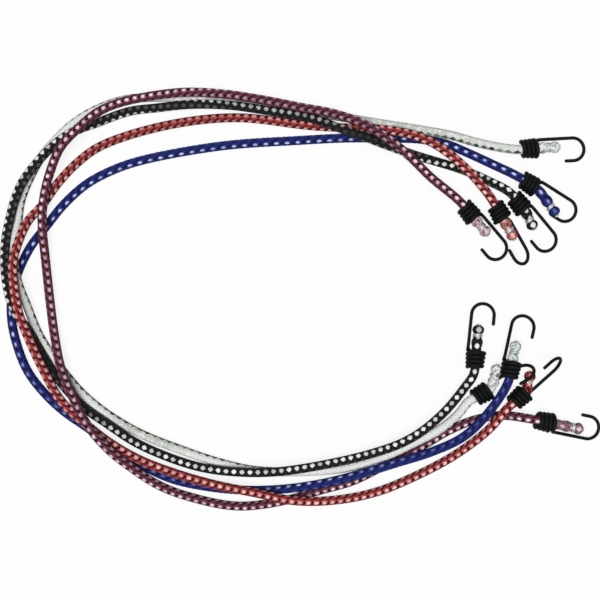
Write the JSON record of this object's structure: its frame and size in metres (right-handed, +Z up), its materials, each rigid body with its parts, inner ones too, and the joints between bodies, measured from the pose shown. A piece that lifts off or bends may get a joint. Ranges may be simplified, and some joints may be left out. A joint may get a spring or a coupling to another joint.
{
  "type": "bungee cord set",
  "caption": "Elastic bungee cords laid together in a loose C, each a braided sheath over a rubber core with a coiled wire hook and a crimped tail at both ends.",
  "frame": {"origin": "on the surface that the set lies on, below the middle of the set", "axes": "+X towards the hooked ends, +Y towards the upper run of the C, +Z up from the surface"},
  "size_m": [0.5272, 0.372, 0.025],
  "materials": {
    "mauve_braid": "matt braid",
    "black_braid": "matt braid",
    "red_braid": "matt braid",
    "blue_braid": "matt braid",
    "white_braid": "matt braid",
    "rubber_core": "matt",
    "dipped_wire": "gloss plastic dip",
    "crimp_steel": "satin"
  },
  "bodies": {
    "cords": {"mauve_sheath": "mauve_braid", "mauve_core": "rubber_core", "mauve_upper_crimp": "crimp_steel", "black_sheath": "black_braid", "black_core": "rubber_core", "black_lower_crimp": "crimp_steel", "red_sheath": "red_braid", "red_core": "rubber_core", "red_lower_crimp": "crimp_steel", "blue_sheath": "blue_braid", "blue_core": "rubber_core", "blue_lower_crimp": "crimp_steel", "white_sheath": "white_braid", "white_core": "rubber_core", "white_lower_crimp": "crimp_steel"},
    "mauve_grip": {"mauve_lower_crimp": "crimp_steel"},
    "black_grip": {"black_upper_crimp": "crimp_steel"},
    "red_grip": {"red_upper_crimp": "crimp_steel"},
    "blue_grip": {"blue_upper_crimp": "crimp_steel"},
    "white_grip": {"white_upper_crimp": "crimp_steel"},
    "mauve_upper_hook": {"mauve_upper_hook": "dipped_wire"},
    "mauve_lower_hook": {"mauve_lower_hook": "dipped_wire"},
    "black_upper_hook": {"black_upper_hook": "dipped_wire"},
    "black_lower_hook": {"black_lower_hook": "dipped_wire"},
    "red_upper_hook": {"red_upper_hook": "dipped_wire"},
    "red_lower_hook": {"red_lower_hook": "dipped_wire"},
    "blue_upper_hook": {"blue_upper_hook": "dipped_wire"},
    "blue_lower_hook": {"blue_lower_hook": "dipped_wire"},
    "white_upper_hook": {"white_upper_hook": "dipped_wire"},
    "white_lower_hook": {"white_lower_hook": "dipped_wire"}
  },
  "joints": [
    {"name": "mauve_stretch", "type": "slide", "parent": "cords", "child": "mauve_grip", "axis": [0.9686, -0.2059, 0.1392], "range_m": [0, 0.5], "stiffness_N_per_m": 240, "deforming": ["mauve_sheath", "mauve_core"]},
    {"name": "black_stretch", "type": "slide", "parent": "cords", "child": "black_grip", "axis": [0.6497, -0.7474, 0.1392], "range_m": [0, 0.5], "stiffness_N_per_m": 240, "deforming": ["black_sheath", "black_core"]},
    {"name": "red_stretch", "type": "slide", "parent": "cords", "child": "red_grip", "axis": [0.4951, -0.8576, 0.1392], "range_m": [0, 0.5], "stiffness_N_per_m": 240, "deforming": ["red_sheath", "red_core"]},
    {"name": "blue_stretch", "type": "slide", "parent": "cords", "child": "blue_grip", "axis": [0.8488, -0.51, 0.1392], "range_m": [0, 0.5], "stiffness_N_per_m": 240, "deforming": ["blue_sheath", "blue_core"]},
    {"name": "white_stretch", "type": "slide", "parent": "cords", "child": "white_grip", "axis": [0.9879, 0.0691, 0.1392], "range_m": [0, 0.5], "stiffness_N_per_m": 240, "deforming": ["white_sheath", "white_core"]},
    {"name": "mauve_upper_swivel", "type": "hinge", "parent": "cords", "child": "mauve_upper_hook", "pos_m": [0.1485, 0.077, 0.0102], "axis": [0.6545, -0.7397, -0.1564], "range_deg": [-120, 150]},
    {"name": "mauve_lower_swivel", "type": "hinge", "parent": "mauve_grip", "child": "mauve_lower_hook", "pos_m": [0.215, -0.107, 0.0102], "axis": [0.9661, -0.2054, -0.1564], "continuous": true},
    {"name": "black_upper_swivel", "type": "hinge", "parent": "black_grip", "child": "black_upper_hook", "pos_m": [0.1925, 0.0845, 0.0102], "axis": [0.648, -0.7454, -0.1564], "range_deg": [-100, 100]},
    {"name": "black_lower_swivel", "type": "hinge", "parent": "cords", "child": "black_lower_hook", "pos_m": [0.154, -0.052, 0.0102], "axis": [0.1204, 0.9803, -0.1564], "continuous": true},
    {"name": "red_upper_swivel", "type": "hinge", "parent": "red_grip", "child": "red_upper_hook", "pos_m": [0.175, 0.077, 0.01], "axis": [0.4988, -0.8639, -0.0698], "range_deg": [-80, 10]},
    {"name": "red_lower_swivel", "type": "hinge", "parent": "cords", "child": "red_lower_hook", "pos_m": [0.192, -0.086, 0.012], "axis": [0.7518, 0.6536, -0.0872], "range_deg": [-160, 45]},
    {"name": "blue_upper_swivel", "type": "hinge", "parent": "blue_grip", "child": "blue_upper_hook", "pos_m": [0.2015, 0.102, 0.0102], "axis": [0.8466, -0.5087, -0.1564], "range_deg": [-150, 90]},
    {"name": "blue_lower_swivel", "type": "hinge", "parent": "cords", "child": "blue_lower_hook", "pos_m": [0.184, -0.061, 0.016], "axis": [0.2366, 0.9491, -0.2079], "continuous": true},
    {"name": "white_upper_swivel", "type": "hinge", "parent": "white_grip", "child": "white_upper_hook", "pos_m": [0.2015, 0.133, 0.0102], "axis": [0.9853, 0.0689, -0.1564], "continuous": true},
    {"name": "white_lower_swivel", "type": "hinge", "parent": "cords", "child": "white_lower_hook", "pos_m": [0.16, -0.0825, 0.0098], "axis": [0.8745, 0.4847, -0.0175], "range_deg": [-15, 5]}
  ]
}
